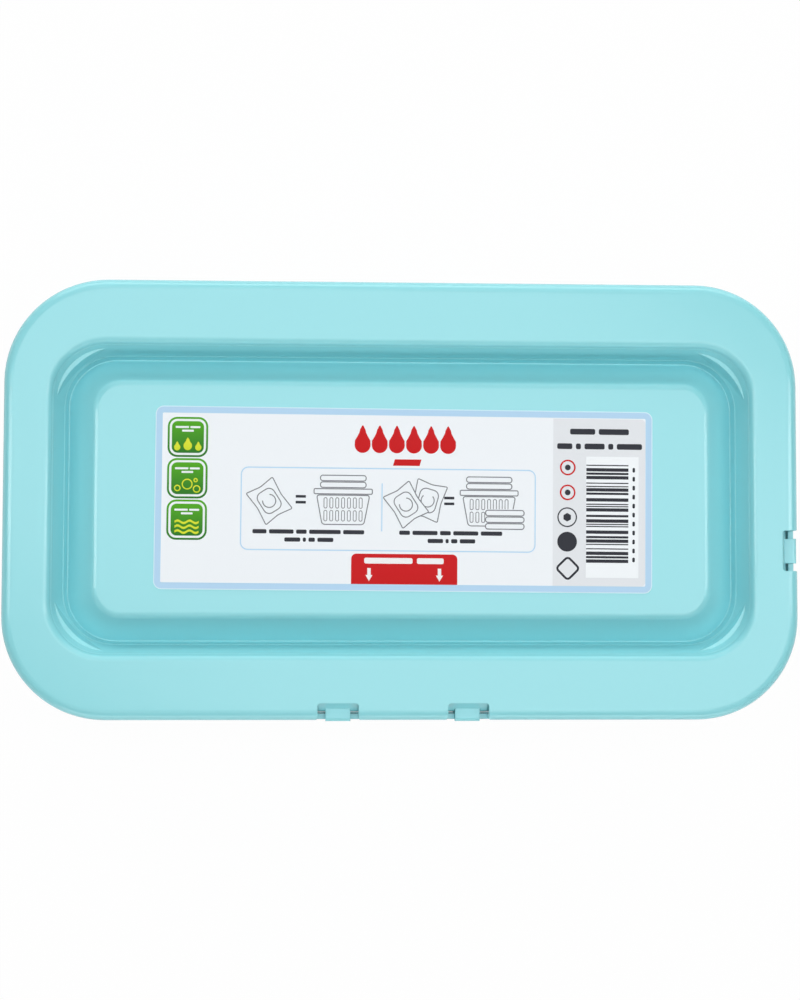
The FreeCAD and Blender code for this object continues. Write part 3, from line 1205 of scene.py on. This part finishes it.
    def model_dome(self, size: Vector) -> Piece:
        """Models the gel pillow, a rounded block.

        Args:
            size: length, width and height of the pod.

        Returns:
            The pillow, on the floor.
        """
        block = (size.x - self.dome_margin, size.y - self.dome_margin, size.z)
        dome = start_mesh(bpy.ops.mesh.primitive_cube_add, block, size=1.0)
        start_edit(dome, "EDGE")
        bpy.ops.mesh.bevel(offset=self.dome_round, segments=3, affect="EDGES", profile=0.6)
        end_edit()
        taper = (self.dome_taper, self.dome_taper, 1)
        resize_where(dome, lambda vertex: abs(vertex.co.z) > size.z * 0.45, taper)
        smooth = dome.modifiers.new("smooth", "SUBSURF")
        smooth.levels = smooth.render_levels = 2
        apply_modifiers(dome)
        make_active(dome)
        bpy.ops.object.shade_smooth()
        low = min(vertex.co.z for vertex in dome.data.vertices)
        place_at(dome, Matrix.Translation((0, 0, -low)))
        return dome


def dress(node: str, finish: Material) -> None:
    """Gives a carried-over node its finish.

    Args:
        node: the node's name.
        finish: its material.
    """
    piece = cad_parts[node]
    piece.data.materials.clear()
    piece.data.materials.append(finish)
    log.info("dressed %s", node)


@dataclass
class Shells:
    """The two moulded shells of the tub."""

    plastic: MouldedPlastic = MouldedPlastic(
        name="turquoise_plastic",
        colour=(0.290, 0.725, 0.780),
        drift_colour=(0.310, 0.745, 0.797),
        scuff_colour=(0.05, 0.20, 0.24),
    )

    def build(self) -> None:
        """Dresses the tub body and the lid."""
        finish = self.plastic.make()
        for node in ("tub_body", "lid"):
            dress(node, finish)


@dataclass
class Studio:
    """Floor, lamps, world light and the camera over the lid."""

    camera_place: tuple[float, float, float] = (-22.2 * MM, -24.2 * MM, 545.8 * MM)
    camera_tilt: tuple[float, float, float] = (2.858, -2.526, 0.129)
    focal_pixels: float = 1746.8
    image_height: float = 1000.0
    sensor: float = 36.0
    floor_size: float = 6.0
    world_light: float = 0.01

    def build(self) -> None:
        """Sets up the whole studio."""
        self.place_camera()
        self.lay_floor()
        self.light_world()
        self.lamp("top_box", (0.055, 0.06, 1.3), (1.05, 0.68), 6.0)
        self.lamp("front_box", (0.05, -0.52, 1.1), (1.0, 0.34), 1.6)
        self.lamp("rear_box", (0.05, 0.68, 1.0), (1.0, 0.34), 1.6)
        self.lamp("rear_low", (0.0, 1.25, 0.40), (1.8, 0.5), 9.5)
        self.lamp("front_low", (0.0, -1.3, 0.30), (1.8, 0.4), 6.5)
        self.lamp("left_box", (-0.74, 0.06, 0.95), (0.18, 0.62), 2.4)
        self.lamp("right_box", (0.74, 0.06, 0.95), (0.18, 0.62), 2.5)
        bpy.context.scene.view_settings.view_transform = "Standard"
        log.info("studio ready")

    def place_camera(self) -> None:
        """Puts the camera nearly straight above the lid, as in the photograph."""
        data = bpy.data.cameras.new("camera")
        data.sensor_width = self.sensor
        data.lens = self.focal_pixels * self.sensor / self.image_height
        data.clip_start = 0.01
        data.clip_end = 20.0
        camera = bpy.data.objects.new("camera", data)
        camera.location = self.camera_place
        camera.rotation_euler = Euler([math.radians(angle) for angle in self.camera_tilt])
        bpy.context.scene.collection.objects.link(camera)
        bpy.context.scene.camera = camera

    def lay_floor(self) -> None:
        """Lays the floor under the tub."""
        floor = start_mesh(bpy.ops.mesh.primitive_plane_add, size=self.floor_size)
        floor.name = "floor"
        floor.data.materials.append(PaleFloor().make())

    def light_world(self) -> None:
        """Gives the world a plain dim light that the camera sees as white."""
        world = bpy.data.worlds.new("studio_world")
        bpy.context.scene.world = world
        world.use_nodes = True
        tree = Tree(world.node_tree)
        background = world.node_tree.nodes["Background"]
        path = tree.add("LightPath")
        share = tree.math("MULTIPLY", path.outputs["Is Camera Ray"], 1.0 - self.world_light)
        tree.feed(background.inputs["Strength"], tree.math("ADD", share, self.world_light))
        tree.feed(background.inputs["Color"], (1.0, 1.0, 1.0))

    def lamp(self, name: str, place: Sequence[float], size: Sequence[float], power: float) -> None:
        """Hangs a rectangular lamp that points at the tub.

        Args:
            name: the lamp's name.
            place: its middle.
            size: its width and height.
            power: its power in watts.
        """
        data = bpy.data.lights.new(name, "AREA")
        data.shape = "RECTANGLE"
        data.size, data.size_y = size
        data.energy = power
        lamp = bpy.data.objects.new(name, data)
        lamp.location = place
        lamp.rotation_euler = (-Vector(place)).to_track_quat("-Z", "Y").to_euler()
        bpy.context.scene.collection.objects.link(lamp)


def main() -> None:
    logging.basicConfig(level=logging.INFO, format="%(message)s")
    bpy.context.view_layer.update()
    Studio().build()
    Shells().build()
    LabelPrint().build()
    PodFill().build()


if __name__ == "__main__":
    main()
